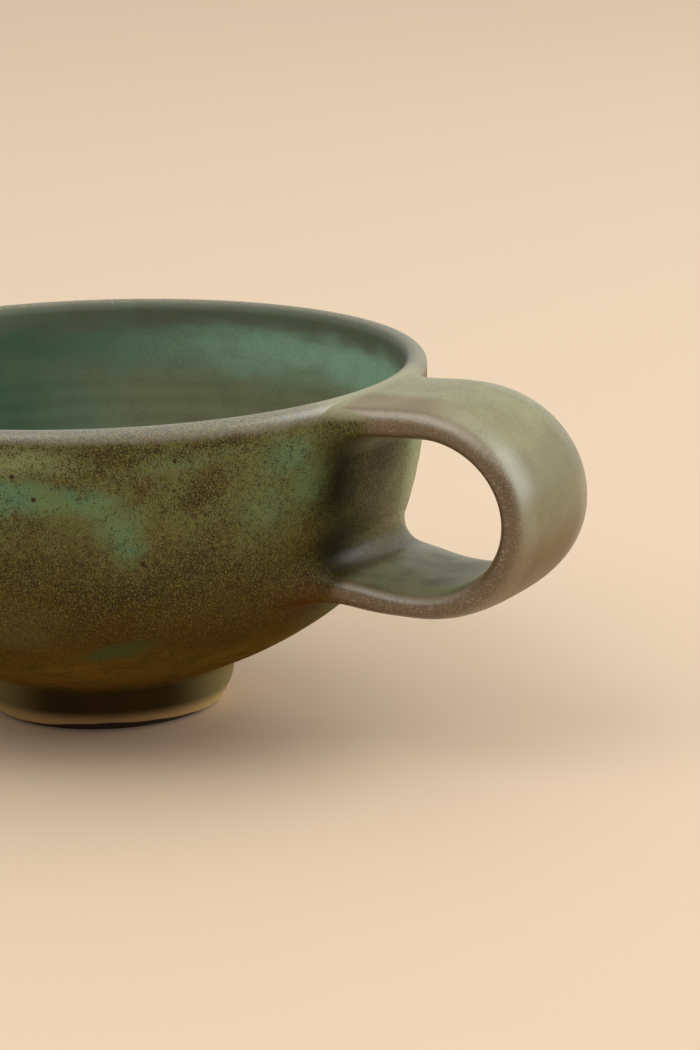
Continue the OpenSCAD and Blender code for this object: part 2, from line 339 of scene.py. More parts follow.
# %% Rows of the inside coat
AXIS_SLOPE = 89.5
inner_wall = wall_outline(INNER, -GLAZE_T, AXIS_SLOPE, (56, 44, 52))[::-1]
inner_lip = lip_outline(GLAZE_T, -180, -90, 24)
inner_back = np.concatenate([
    lip_outline(0, -90, -180, 8),
    wall_outline(INNER, 0, AXIS_SLOPE, (10, 12, 12))[1:],
])
pool = np.concatenate([inner_wall[:-1], inner_lip, inner_back])
print("rows in the inside coat:", len(pool))

# %% The inside coat
INNER_RINGS = 1.6
INNER_RINGS_FROM = (3, 12)
INNER_RINGS_TO = (40, 50)
RING_LEAN = 0.12
RING_WAY = (-0.6, 0.8)
INNER_BLOOM = (-1.1, 0.1)
is_face = (np.arange(len(pool)) < len(inner_wall) + len(inner_lip) - 1)[:, None]
ring_fade = smooth(pool[:, 0], *INNER_RINGS_FROM) * (1 - smooth(pool[:, 1], *INNER_RINGS_TO))
climb = pool[:, 1, None] + RING_LEAN * pool[:, 0, None]
ring = INNER_RINGS * rings(climb, around) * ring_fade[:, None] * is_face
r = pool[:, 0, None] + RING_WAY[0] * ring
z = pool[:, 1, None] + RING_WAY[1] * ring
inside = lifted(np.stack([r * np.cos(around), r * np.sin(around), z + 0 * around], axis=-1))
lip_edge = smooth(pool[:, 1] - CUP_H, *INNER_BLOOM) * is_face[:, 0]
inner_shares = {"edge": lip_edge[:, None], "sage": by_strap(inside)}
inner_coat = skin("inner_glaze_coat", inside, inner_shares, poles=True)
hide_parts("inner_glaze")

# %% [markdown]
# ## The coat on the handle
#
# The strap was pulled from a lump of clay, curled over and smoothed onto the wall with a wet finger,
# which leaves a hollow fillet round each root. Its middle line is four cubic runs: level out from
# the wall, a quarter turn down, a quarter turn back and level in again. At each place along that
# line stands a rounded rectangle. Towards a root it grows by the law of a round fillet and is drawn
# along X until it lies on the wall, so the coat ends flush on the bowl. A curve with a bevel could
# carry one section along the line, but it couldn't let it swell and settle on a round wall. Glaze
# fills a corner softly, so away from the roots the coat's section is rounder than the clay's.

# %% Sizes of the strap
HANDLE_REACH = 27.8
CROWN_REACH = 11.8
HEEL_REACH = 11.4
UPPER_ROOT_Z = CUP_H - 3.0
CROWN_Z = CUP_H - 2.6
BEND_Z = CUP_H - 17.0
HEEL_Z = CUP_H - 31.5
LOWER_ROOT_Z = CUP_H - 30.0
STRAP_W = 25.0
STRAP_T = 5.0
UPPER_FLARE = 1.2
LOWER_FLARE = 2.2
FLARE_LEN = 30.0
UPPER_FILLET = 3.6
UPPER_SIDE_FILLET = 3.0
LOWER_FILLET = 5.0
LOWER_SIDE_FILLET = 6.6
UNDER_FILLET = 1.4
CURL_FULLNESS = 0.55
SECTION_POWER = 3.2
COAT_POWER = 2.7
SOFTER_FROM, SOFTER_TO = 8, 16
# Slopes in degrees at which the clay's fillet and the coat's fillet end on the wall
ROOT_TURN = 72.0
COAT_TURN = 88.0
SEAT = GLAZE_T - 0.02


# %% Where the wall is
def wall_r(z, shift):
    """Radius of the bowl's outside at a height: the lip's circle near the top, then the arc there."""
    (c0, r0), (c1, r1), (c2, r2) = OUTER
    turn_z = c0[1] - (r0 + shift) * np.sin(np.radians(WALL_TURN))
    belly_z = c1[1] - (r1 + shift) * np.sin(np.radians(BELLY_TURN))
    places = [z > LIP_Z, z > turn_z, z > belly_z]
    centre_r = np.select(places, [CLAY_R - LIP_R, c0[0], c1[0]], c2[0])
    centre_z = np.select(places, [LIP_Z, c0[1], c1[1]], c2[1])
    radius = np.select(places, [LIP_R, r0, r1], r2) + shift
    top = LIP_Z + (LIP_R + shift) * np.sin(np.radians(ROOT_TURN))
    return centre_r + np.sqrt(radius**2 - (np.minimum(z, top) - centre_z) ** 2)


def wall_x(y, z):
    """Distance along X to the bowl's outside, beside the handle's plane."""
    return np.sqrt(wall_r(z, SEAT) ** 2 - y**2)


print("wall radius at the two roots, mm:", wall_r(np.array([UPPER_ROOT_Z, LOWER_ROOT_Z]), SEAT).round(2))

# %% Middle line of the strap
upper_root = np.array([wall_r(np.array(UPPER_ROOT_Z), SEAT), UPPER_ROOT_Z])
lower_root = np.array([wall_r(np.array(LOWER_ROOT_Z), SEAT), LOWER_ROOT_Z])
crown = np.array([RIM_R + CROWN_REACH, CROWN_Z])
elbow = np.array([RIM_R + HANDLE_REACH, BEND_Z])
heel = np.array([RIM_R + HEEL_REACH, HEEL_Z])


def level_run(a, b):
    """Handles of a cubic that leaves a and reaches b level."""
    half = np.array([(b[0] - a[0]) / 2, 0])
    return [a, a + half, b - half, b]


def quarter_turn(a, b, level_first):
    """Handles of a cubic that turns from level to upright, or back."""
    across = np.array([b[0] - a[0], 0]) * CURL_FULLNESS
    down = np.array([0, b[1] - a[1]]) * CURL_FULLNESS
    return [a, a + across, b - down, b] if level_first else [a, a + down, b - across, b]


RUNS = np.array([
    level_run(upper_root, crown),
    quarter_turn(crown, elbow, True),
    quarter_turn(elbow, heel, False),
    level_run(heel, lower_root),
])


def middle_line(run, u):
    """Places on the cubic runs, and their unit directions."""
    p0, p1, p2, p3 = (RUNS[run, i] for i in range(4))
    u = u[:, None]
    place = (1 - u) ** 3 * p0 + 3 * u * (1 - u) ** 2 * p1 + 3 * u**2 * (1 - u) * p2 + u**3 * p3
    way = (1 - u) ** 2 * (p1 - p0) + 2 * u * (1 - u) * (p2 - p1) + u**2 * (p3 - p2)
    return place, way / np.linalg.norm(way, axis=1, keepdims=True)


# %% Rings of the strap
def rounded(v, power):
    """A circle's coordinate drawn out to a rounded rectangle's, squarer at a higher power."""
    return np.sign(v) * np.abs(v) ** (2 / power)


def fillet(distance, radius, turn):
    """Growth of a round fillet that starts its radius away from the wall and ends at a slope."""
    near = np.clip(1 - distance / radius, 0, 1) * np.sin(np.radians(turn))
    return radius * (1 - np.sqrt(1 - near**2))


def strap(run, u, section, shift, turn, free_power):
    """Rings of the strap, grown by shift, and each ring's distance from the root that it belongs to.

    A point is the middle line's place, plus half the width across and half the thickness along the
    line's normal, each times a rounded coordinate. Near a root it slides along X onto the wall, and
    away from the roots the section turns from the clay's power to the free power.
    """
    place, way = middle_line(run, u)
    upper = run < 2
    root = np.where(upper[:, None], upper_root, lower_root)
    away = np.linalg.norm(place - root, axis=1)
    near = np.clip(1 - away / FLARE_LEN, 0, 1)
    freed = smooth(away, SOFTER_FROM, SOFTER_TO)
    power = (SECTION_POWER + (free_power - SECTION_POWER) * freed)[:, None]
    side = fillet(away, np.where(upper, UPPER_SIDE_FILLET, LOWER_SIDE_FILLET), turn)
    inward = fillet(away, np.where(upper, UPPER_FILLET, LOWER_FILLET), turn)
    under = np.where(upper, 0, fillet(away, UNDER_FILLET, turn))
    flare = np.where(upper, UPPER_FLARE, LOWER_FLARE) * near**2
    half_w = STRAP_W / 2 + flare + side + shift
    out_t = (STRAP_T / 2 + under + shift)[:, None]
    in_t = (STRAP_T / 2 + inward + shift)[:, None]
    y = half_w[:, None] * rounded(np.cos(section), power)
    n = np.where(np.sin(section) > 0, out_t, in_t) * rounded(np.sin(section), power)
    x = place[:, :1] - n * way[:, 1:]
    z = place[:, 1:] + n * way[:, :1]
    x = x + near[:, None] ** 3 * (wall_x(y, z) - root[:, :1])
    return np.stack([x, y, z], axis=-1), away


# %% Places along the strap
def places(counts):
    """Run and share of the run for each ring, crowded towards the two roots by a fourth power."""
    shares = [np.linspace(0, 1, n, endpoint=False) for n in counts[:-1]] + [np.linspace(0, 1, counts[-1])]
    shares[0] = shares[0] ** 4
    shares[-1] = 1 - (1 - shares[-1]) ** 4
    run = np.concatenate([np.full(len(s), i) for i, s in enumerate(shares)])
    return run, np.concatenate(shares)


SIDES = 144
section = np.linspace(0, 2 * np.pi, SIDES, endpoint=False)
face_run, face_u = places((48, 48, 48, 60))
strap_face, away = strap(face_run, face_u, section, GLAZE_T, COAT_TURN, COAT_POWER)
back_run, back_u = places((12, 12, 12, 14))
strap_back, _ = strap(back_run[::-1], back_u[::-1], section, 0, ROOT_TURN, SECTION_POWER)
print("rings on the strap:", len(strap_face), "outside and", len(strap_back), "inside")

# %% [markdown]
# ## Where the handle's glaze changes
#
# The strap's glaze broke to brown along its edges, stayed sage on its faces, and thinned to tan
# where it ran. A painted picture could say where, but it would need unwrapping. Here each place
# gets attributes, which are numbers from 0 to 1 that follow the strap's own two parameters: the way
# along it and the way round its section. Two of them place painted light: one says which side of the
# section faces the light, so that the brown is painted lighter there and darker on the shaded side,
# and one marks the crest of the edge, where a pale band is partly a painted highlight. The gloss
# alone goes past 1, in the fillet inside the lower root, which catches the window.

# %% Where the handle's glaze changes
# Where the pale band on the crest of the strap's edge lies across the section, and its half width: partly
# the glaze's bloom, partly a painted highlight
CREST_HIGHLIGHT_AT = 0.935
CREST_HIGHLIGHT_HALF = 0.09
FILLET_GLOSS = 3.0
x, y, z = (strap_face[..., i] for i in range(3))
across = np.abs(y) / np.abs(y).max(axis=1, keepdims=True)
on_top = smooth(np.sin(section), 0.2, 0.6)
to_lip = on_top * (face_run < 2)[:, None]
level_way = middle_line(face_run, face_u)[1][:, :1]
# Which side of the strap's section faces the light: the top on the upper run, the face inside the loop on
# the lower run. The brown edge is painted lighter there and darker on the other side, and the crest
# highlight is painted there
lit = smooth(np.sin(section) * (level_way + 0.45), -0.4, 0.4)
on_level = smooth(np.abs(level_way), 0.3, 0.95)
under_root = smooth(np.sin(section), -0.1, 0.3) * ((face_run > 1) * (1 - smooth(away, 6, 16)))[:, None]
in_loop = smooth(-np.sin(section), 0.2, 0.6)
in_fillet = in_loop * ((face_run > 1) * smooth(away, 0.5, 3.5) * (1 - smooth(away, 5, 12)))[:, None]
faces = {
    "edge": smooth(across, 0.72, 1.0),
    "satin": smooth(across, 0.45, 0.85) * (1 - under_root),
    "gloss": 1 - under_root + FILLET_GLOSS * in_fillet,
    "lit": lit,
    # A pale band on the crest of the edge: partly bloom, partly a painted highlight
    "crest": on_level * lit * np.exp(-(((np.abs(np.cos(section)) - CREST_HIGHLIGHT_AT) / CREST_HIGHLIGHT_HALF) ** 2)),
    "tan": on_top * smooth(-y, 1, 11) * (1 - smooth(x, 62, 84)),
    "outer": on_top * (1 - smooth(z, 46, 57)),
    "low": on_top * (1 - smooth(z, 30, 46)),
    "in_loop": in_loop,
    "sage": smooth(away[:, None], 2.5 - 2.5 * to_lip, 9.0 - 6.5 * to_lip),
    "by_lip": by_strap(strap_face),
}
print("shares on the handle:", ", ".join(faces))

# %% The coat on the handle
# Only the outer face rises with the lip, because a rise would push the inner face into the clay
strap_face = lifted(strap_face, smooth(np.sin(section), -0.1, 0.5))
handle_grid = np.concatenate([strap_face, strap_back])
back_rest = np.zeros(strap_back.shape[:2])
handle_shares = {name: np.concatenate([share + 0 * x, back_rest]) for name, share in faces.items()}
handle_coat = skin("handle_glaze_coat", handle_grid, handle_shares)
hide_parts("handle_glaze")

# %% [markdown]
# ## Writing materials
#
# The finishes are patterns of position, so they need no pictures. A few short helpers keep the node
# code readable: one makes a node and fills its inputs, one turns a value into a soft step, and one
# mixes two colours. Colours are written as they look on a screen and turned into light values.


# %% Helpers for nodes
def light(red, green, blue):
    """A colour as seen on a screen, 0 to 255, as linear light."""
    c = np.array([red, green, blue]) / 255
    linear = np.where(c < 0.04045, c / 12.92, ((c + 0.055) / 1.055) ** 2.4)
    return (*linear.tolist(), 1.0)


def fill(tree, socket, value):
    """Links a socket to an input, or types a plain value into it."""
    if isinstance(value, bpy.types.NodeSocket):
        tree.links.new(value, socket)
    else:
        socket.default_value = value


def put(tree, kind, inputs, **settings):
    """A new node with its settings and inputs. Returns its first output that is switched on."""
    made = tree.nodes.new(kind)
    for key, value in settings.items():
        setattr(made, key, value)
    for key, value in inputs.items():
        fill(tree, made.inputs[key], value)
    return next(o for o in made.outputs if o.enabled)


def step(tree, value, start, end, low=0.0, high=1.0):
    """A soft step: low before start, high after end."""
    inputs = {"Value": value, "From Min": start, "From Max": end, "To Min": low, "To Max": high}
    return put(tree, "ShaderNodeMapRange", inputs, interpolation_type="SMOOTHSTEP")


def mixed(tree, share, a, b):
    """Colour a turning into colour b by a share."""
    return put(tree, "ShaderNodeMix", {0: share, 6: a, 7: b}, data_type="RGBA")


def sums(tree, way, a, b):
    """Plain arithmetic between two values."""
    return put(tree, "ShaderNodeMath", {0: a, 1: b}, operation=way)


def weighed(tree, *parts):
    """The sum of some values, each times its weight."""
    total = 0.0
    for value, weight in parts:
        total = sums(tree, "ADD", total, sums(tree, "MULTIPLY", value, weight))
    return total


def most(tree, values):
    """The largest of some values."""
    total = values[0]
    for value in values[1:]:
        total = sums(tree, "MAXIMUM", total, value)
    return total


def cloud(tree, place, size, detail=3.0, rough=0.5):
    """Noise whose patches are about the given size in millimetres."""
    inputs = {"Vector": place, "Scale": 1 / size, "Detail": detail, "Roughness": rough}
    return put(tree, "ShaderNodeTexNoise", inputs)


def height_of(tree, place):
    """The height of a place above the table."""
    return put(tree, "ShaderNodeSeparateXYZ", {0: place}).node.outputs["Z"]


def share_of(tree, name):
    """An attribute of the mesh as a value."""
    made = tree.nodes.new("ShaderNodeAttribute")
    made.attribute_name = name
    return made.outputs["Fac"]


# %% Start of a material
def new_material(name):
    """An empty material: its tree, its shader and Object coordinates in millimetres."""
    material = bpy.data.materials.new(name)
    material.use_nodes = True
    tree = material.node_tree
    shader = tree.nodes["Principled BSDF"]
    place = tree.nodes.new("ShaderNodeTexCoord").outputs["Object"]
    place = put(tree, "ShaderNodeVectorMath", {0: place, "Scale": 1 / MM}, operation="SCALE")
    return material, tree, shader, place


# %% [markdown]
# ## The clay
#
# The body is a brown stoneware. It shows only under the foot, where a ring of bare clay meets the
# table. Fired clay is matt, with dark iron specks and a fine grit that the turning tool dragged. A
# photograph of clay could be wrapped round it, but two noises do: a slow one for the cloudy body,
# and a fine one for the specks and the grit.

# %% Bare clay
IRON = light(38, 26, 18)
GRIT_SIZE = 0.5
GRIT_DEPTH = 0.00012


def clay(name, body, dark):
    """Matt fired clay: a cloudy body colour with dark specks and a gritty surface."""
    material, tree, shader, place = new_material(name)
    blotch = step(tree, cloud(tree, place, 5.0), 0.35, 0.65)
    grit = cloud(tree, place, GRIT_SIZE, 2.0)
    colour = mixed(tree, blotch, body, dark)
    colour = mixed(tree, step(tree, grit, 0.62, 0.7), colour, IRON)
    fill(tree, shader.inputs["Base Color"], colour)
    fill(tree, shader.inputs["Roughness"], step(tree, grit, 0.3, 0.7, 0.72, 0.9))
    bump = put(tree, "ShaderNodeBump", {"Height": grit, "Distance": GRIT_DEPTH, "Strength": 0.6})
    fill(tree, shader.inputs["Normal"], bump)
    return material


stoneware = clay("stoneware", light(128, 92, 62), light(108, 76, 50))
# The bare ring under the foot is painted darker than the clay, as painted shade in the gap between the foot
# and the table
bare_foot = clay("bare_foot", light(62, 38, 27), light(48, 29, 21))
slip = clay("slip", light(140, 104, 74), light(122, 88, 60))
clay_finish = {
    "bowl": stoneware,
    "handle": stoneware,
    "foot_ring": bare_foot,
    "upper_slip_joint": slip,
    "lower_slip_joint": slip,
}
for node, finish in clay_finish.items():
    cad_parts[node].data.materials.clear()
    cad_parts[node].data.materials.append(finish)
print("clay on", ", ".join(clay_finish))

# %% [markdown]
# ## The glaze
#
# The glaze is a satin one that changes with its thickness: green and smooth where it ran together,
# olive under a fine dark speckle where it lies even, amber where it thinned on the belly, and brown
# with a mauve bloom where it drew off an edge. Each of these is a layer, mixed over the one below by
# a soft mask. Most masks are noise. The few patches that one would know the cup by are placed one by
# one, each as a soft ellipsoid round a spot on the wall, given by the turn from the handle and the
# height. A stirred position makes their borders wander, as run glaze does.
# Some of the patches are painted light and shade: darker beside and under the strap, where it shades the
# wall, and paler on the wall seen through the loop and low on the belly, where the window and the table
# light it.


# %% Soft patches
def stirred(tree, place, size, amount):
    """A place pushed about by slow noise, by up to about half the amount."""
    made = put(tree, "ShaderNodeTexNoise", {"Vector": place, "Scale": 1 / size, "Detail": 3.0}).node
    push = {0: made.outputs["Color"], 1: (0.5, 0.5, 0.5)}
    push = put(tree, "ShaderNodeVectorMath", push, operation="SUBTRACT")
    push = put(tree, "ShaderNodeVectorMath", {0: push, "Scale": amount}, operation="SCALE")
    return put(tree, "ShaderNodeVectorMath", {0: place, 1: push}, operation="ADD")


def patch(tree, place, turn, z, half_w, half_h, tilt=0.0, soft=0.35, depth=10.0):
    """1 in the middle of an ellipsoid on the wall, 0 outside it, with a soft border."""
    r = float(wall_r(np.array(z), GLAZE_T))
    turn = np.radians(turn)
    inputs = {
        "Vector": place,
        "Location": (r * np.cos(turn), r * np.sin(turn), z),
        "Rotation": (np.radians(tilt), 0.0, turn),
        "Scale": (depth, half_w, half_h),
    }
    apart = put(tree, "ShaderNodeMapping", inputs, vector_type="TEXTURE")
    apart = put(tree, "ShaderNodeVectorMath", {0: apart}, operation="LENGTH")
    return step(tree, apart, 1.0, soft)


def patches(tree, place, spots):
    """The strongest of some soft patches at a place."""
    parts = [sums(tree, "MULTIPLY", patch(tree, place, *spot, 0.0), strength) for *spot, strength in spots]
    return most(tree, parts)


# %% Places of the patches
# Turn from the handle, height, half width, half height, tilt and strength of each
GREEN_RUNS = [
    (-76, 48.8, 30.0, 5.6, -7, 1.0), (-65, 48.0, 13.0, 5.2, -7, 0.95), (-57, 46.6, 10.0, 5.4, -8, 0.9),
    (-53.4, 43.6, 8.0, 7.4, -8, 0.8), (-51.4, 39.6, 7.0, 7.0, -8, 0.7), (-62, 42.0, 15.0, 8.0, 0, 0.25),
    (-43, 53.0, 15.0, 4.0, 0, 0.6), (-24, 51.5, 13.0, 8.0, 0, 0.65), (-20.5, 47.0, 9.0, 9.0, 0, 0.7),
    (-28, 44.0, 12.0, 11.0, 8, 0.55),
    (-112, 44.0, 12.0, 9.0, 15, 0.8), (-150, 49.0, 24.0, 5.0, 4, 0.9), (145, 46.0, 13.0, 10.0, 0, 0.7),
    (95, 50.0, 24.0, 4.8, -4, 0.9), (52, 42.0, 9.0, 11.0, 12, 0.7), (14, 48.0, 8.0, 8.0, 0, 0.6),
]
DARK_RUNS = [
    (-52.5, 55.0, 13.0, 2.6, -3, 0.65), (-43, 53.8, 8.0, 2.2, -4, 0.7), (-40.5, 47.8, 6.0, 3.2, 10, 0.8),
    (-36, 55.4, 11.0, 1.8, -3, 0.8),
    (-66, 37.0, 18.0, 7.0, -3, 0.2), (-43, 36.0, 12.0, 7.5, 0, 0.6), (-50, 31.5, 26.0, 4.6, 0, 0.6),
    (-100, 37.0, 18.0, 7.0, 4, 0.7), (-140, 40.0, 18.0, 7.0, -4, 0.7), (170, 38.0, 22.0, 7.0, 3, 0.7),
    (110, 39.0, 18.0, 7.0, 0, 0.7), (60, 37.0, 16.0, 7.0, 0, 0.7), (120, 55.0, 16.0, 2.6, 2, 0.8),
]
# Beside the strap and under its upper root the wall is painted darker: partly a darker glaze, partly
# painted shade that the strap casts on the wall
DEEP_AND_SHADED_RUNS = [(-12.5, 45.0, 8.0, 15.0, 0, 0.95), (-11, 35.0, 9.0, 9.0, 0, 0.9), (0, 48.0, 8.0, 9.0, 0, 0.5)]
# Pale glaze, except three patches of painted light: the one at turn 18, on the wall seen through the loop,
# lit by the window, and the two low on the belly at turns 4 and 7, lit by the table
PALE_AND_LIT_RUNS = [
    (-69, 53.8, 14.0, 4.0, 0, 0.9), (18, 42.0, 12.0, 18.0, 0, 1.0), (-160, 53.6, 16.0, 3.0, 0, 0.6),
    (80, 53.6, 14.0, 3.0, 0, 0.6), (-75, 26.0, 17.0, 9.0, 0, 0.13),
    (4, 20.5, 17.0, 9.0, 0, 0.36), (7, 16.0, 15.0, 7.0, 0, 0.3),
]
SMEARS = [
    (-54.5, 20.3, 10.5, 2.6, 11, 0.75), (-130, 20.5, 9.0, 2.0, -8, 0.6), (120, 19.8, 8.0, 1.8, 6, 0.6),
]
RUSTS = [(-14, 27.0, 11.0, 5.5, 0, 0.8), (13, 27.0, 11.0, 5.0, 0, 0.6)]
# Turn and height of each pit
PITS = [
    (-70.2, 51.7), (-67.0, 48.1), (-49.6, 36.9), (-44.2, 53.3), (-120.0, 45.0), (150.0, 41.0), (70.0, 47.0),
]
print("patches of run glaze:", sum(map(len, (GREEN_RUNS, DARK_RUNS, DEEP_AND_SHADED_RUNS, PALE_AND_LIT_RUNS, SMEARS, RUSTS))))

# %% Colours of the glaze
OLIVE = light(101, 103, 62)
OLIVE_BROWN = light(80, 66, 24)
FLECK = light(128, 124, 62)
# Pale glaze, and the colour of painted light where the window and the table light the wall
PALE_AND_LIT = light(134, 146, 104)
GREEN = light(103, 128, 89)
GREEN_TEAL = light(93, 136, 105)
SMEAR = light(63, 80, 47)
SPECK = light(55, 43, 30)
AMBER = light(75, 57, 19)
AMBER_LOW = light(106, 79, 31)
# A dark glaze, which also stands for painted shade of the strap
DEEP_AND_SHADE = light(30, 26, 10)
RUST = light(86, 46, 16)
PIT = light(60, 36, 34)
MAUVE = light(110, 106, 102)
LIP_OLIVE = light(150, 147, 104)
LIP_GRAIN = light(86, 74, 62)
SAGE = light(151, 148, 113)
SAGE_OUT = light(127, 122, 93)
SAGE_GREEN = light(136, 134, 100)
SAGE_DARK = light(104, 105, 74)
TAN = light(130, 110, 70)
TAN_LOW = light(104, 80, 42)
# The strap's brown edge in two copies: painted light on the side that faces the light, painted shade on the
# other
BROWN_LIT = light(102, 81, 49)
BROWN_SHADED = light(88, 69, 40)
# Pale for the band on the strap's crest, partly the glaze's bloom and partly a painted highlight, and for
# painted glints
BLOOM_AND_HIGHLIGHT = light(178, 166, 143)
# The foot's glaze: painted shade in the hollow under the belly, painted light on the two ends that face the
# side panels, and a pale tan bead along the glaze line, painted lighter for light from the table
FOOT_SHADED = light(56, 42, 22)
FOOT_SIDE_LIT = light(158, 146, 98)
FOOT_BEAD_BOUNCE_LIT = light(198, 164, 114)
FOOT_BEAD_SIDE_LIT = light(204, 186, 130)


# %% The glaze on the wall
# About the camera's right: the way along which light is painted on the foot and on the teal inside
VIEW_RIGHT_TURN = 34
VIEW_RIGHT_WAY = (float(np.cos(np.radians(VIEW_RIGHT_TURN))), float(np.sin(np.radians(VIEW_RIGHT_TURN))), 0.0)
PIT_HALF = 0.55
# Heights over which each colour of the wall turns into the next, and where the speckle thickens
AMBER_RISE = (22, 31)
BROWN_RISE = (32, 40)
OLIVE_RISE = (38, 52)
SPECK_RISE = (26, 42)
FOOT_TOP = (9.2, 7.0)
FOOT_LINE = (4.0, 1.0)
# Distances to the camera's left and right over which painted side light grows on the foot
FOOT_SIDE_LIGHT = (9.0, 22.0)


def along_view_right(tree, place):
    """Distance of a place from the axis, towards about the camera's right, along which light and shade are
    painted.
    """
    return put(tree, "ShaderNodeVectorMath", {0: place, 1: VIEW_RIGHT_WAY}, operation="DOT_PRODUCT")


def foot_colour(tree, place):
    """Colour of the glaze on the foot: painted shade in the hollow under the belly, painted light on its
    two ends that face the side panels, and a pale bead along its line, painted lighter for light from the
    table.
    """
    sideways = put(tree, "ShaderNodeMath", {0: along_view_right(tree, place)}, operation="ABSOLUTE")
    # Painted light grows towards the two ends of the foot, left and right as the camera looks at it
    side_light = step(tree, sideways, *FOOT_SIDE_LIGHT, 0.0, 0.75)
    hollow = mixed(tree, side_light, FOOT_SHADED, FOOT_SIDE_LIT)
    line = mixed(tree, side_light, FOOT_BEAD_BOUNCE_LIT, FOOT_BEAD_SIDE_LIT)
    return mixed(tree, step(tree, height_of(tree, place), *FOOT_LINE), hollow, line)


def wall_colour(tree, place):
    """Colour of the outside wall at a place, with painted shade beside the strap and painted light in a few
    pale patches, and the fine grain it has there.
    """
    height = height_of(tree, place)
    wander = stirred(tree, place, 8.0, 5.0)
    drift = weighed(tree, (height, 1.0), (cloud(tree, place, 14.0), 12.0), (cloud(tree, place, 2.0), 5.0))
    fine = cloud(tree, place, 0.22, 2.0, 0.5)
    middle = cloud(tree, place, 0.9, 4.0, 0.6)
    slow = cloud(tree, place, 7.0, 3.0)
    green = patches(tree, wander, GREEN_RUNS)
    dark = patches(tree, wander, DARK_RUNS)
    # Pale glaze, and painted light in three of these patches
    pale = patches(tree, wander, PALE_AND_LIT_RUNS)

    colour = mixed(tree, step(tree, drift, *AMBER_RISE), AMBER_LOW, AMBER)
    colour = mixed(tree, step(tree, drift, *BROWN_RISE), colour, OLIVE_BROWN)
    colour = mixed(tree, step(tree, drift, *OLIVE_RISE), colour, OLIVE)
    brown = step(tree, cloud(tree, place, 4.0, 4.0), 0.46, 0.66, 0.0, 0.6)
    colour = mixed(tree, brown, colour, OLIVE_BROWN)
    colour = mixed(tree, pale, colour, PALE_AND_LIT)
    grainy_green = weighed(tree, (green, 1.0), (middle, 0.5), (fine, 0.3))
    run_green = mixed(tree, step(tree, slow, 0.4, 0.6), GREEN, GREEN_TEAL)
    colour = mixed(tree, step(tree, grainy_green, 0.5, 1.35), colour, run_green)
    colour = mixed(tree, sums(tree, "MULTIPLY", dark, 0.15), colour, SPECK)

    zone = step(tree, drift, *SPECK_RISE)
    speck = weighed(tree, (fine, 0.6), (middle, 0.4), (slow, 0.16), (zone, 0.08))
    speck = weighed(tree, (speck, 1.0), (dark, 0.12), (green, -0.07), (pale, -0.06))
    colour = mixed(tree, step(tree, speck, 0.61, 0.73, 0.0, 0.9), colour, SPECK)
    fleck = weighed(tree, (cloud(tree, place, 0.24, 2.0), 1.0), (zone, 0.07))
    colour = mixed(tree, step(tree, fleck, 0.6, 0.7, 0.0, 0.7), colour, FLECK)
    colour = mixed(tree, patches(tree, wander, RUSTS), colour, RUST)
    # Painted shade of the strap over a darker glaze, beside and under its roots
    colour = mixed(tree, patches(tree, wander, DEEP_AND_SHADED_RUNS), colour, DEEP_AND_SHADE)
    colour = mixed(tree, patches(tree, wander, SMEARS), colour, SMEAR)
    pits = most(tree, [patch(tree, place, *pit, PIT_HALF, PIT_HALF) for pit in PITS])
    colour = mixed(tree, pits, colour, PIT)
    on_foot = step(tree, height, *FOOT_TOP, 0.0, 0.95)
    return mixed(tree, on_foot, colour, foot_colour(tree, place)), fine


# %% The satin
PEEL_SIZE = 0.16
PEEL_DEPTH = 0.00003
SWELL_SIZE = 1.1
SWELL_SHARE = 1.4
GRAIN_RANGE = (0.3, 0.7)


def satin(tree, shader, place, colour, fine, rough, sparkle, shine):
    """Satin gloss, rougher with the fine grain, and a fine orange peel that deepens where it sparkles."""
    fill(tree, shader.inputs["Base Color"], colour)
    fill(tree, shader.inputs["Roughness"], step(tree, fine, *GRAIN_RANGE, *rough))
    fill(tree, shader.inputs["Specular IOR Level"], shine)
    peel = cloud(tree, place, PEEL_SIZE, 1.0)
    lift = weighed(tree, (peel, 1.0), (cloud(tree, place, SWELL_SIZE, 2.0), SWELL_SHARE))
    inputs = {"Height": lift, "Distance": PEEL_DEPTH, "Strength": sparkle}
    fill(tree, shader.inputs["Normal"], put(tree, "ShaderNodeBump", inputs))


def glazed(piece, material):
    """Lays a glaze on its coat."""
    piece.data.materials.append(material)
    print(f"{piece.name}: a glaze of {len(material.node_tree.nodes)} nodes")


# %% The bloom on the lip
LIP_TOP = (CUP_H - 2.2, CUP_H - 0.8)


def lip_layers(tree, place, colour, edge, sage, grainy):
    """The lip's bloom over a colour: mauve grey with olive flecks, and sage where the strap joins on."""
    flecks = step(tree, cloud(tree, place, 0.22, 2.0), 0.42, 0.6)
    top = step(tree, height_of(tree, place), *LIP_TOP, 0.15, 0.95)
    bloom = mixed(tree, sums(tree, "MULTIPLY", flecks, top), MAUVE, LIP_OLIVE)
    grains = step(tree, cloud(tree, place, 0.4, 3.0), 0.46, 0.62, 0.0, grainy)
    grains = sums(tree, "MULTIPLY", grains, step(tree, top, 0.95, 0.2, 0.4, 1.0))
    bloom = mixed(tree, grains, bloom, LIP_GRAIN)
    bloom = mixed(tree, sage, bloom, SAGE)
    ragged = weighed(tree, (edge, 1.0), (cloud(tree, place, 0.5, 3.0), 0.8), (cloud(tree, place, 3.0), 0.5))
    return mixed(tree, step(tree, ragged, 1.0, 1.6), colour, bloom)


# %% Outside glaze
WALL_ROUGH = (0.32, 0.44)
WALL_SHINE = 0.08
LIP_SHINE = 0.82
SHINE_RISE = (20.0, 38.0)


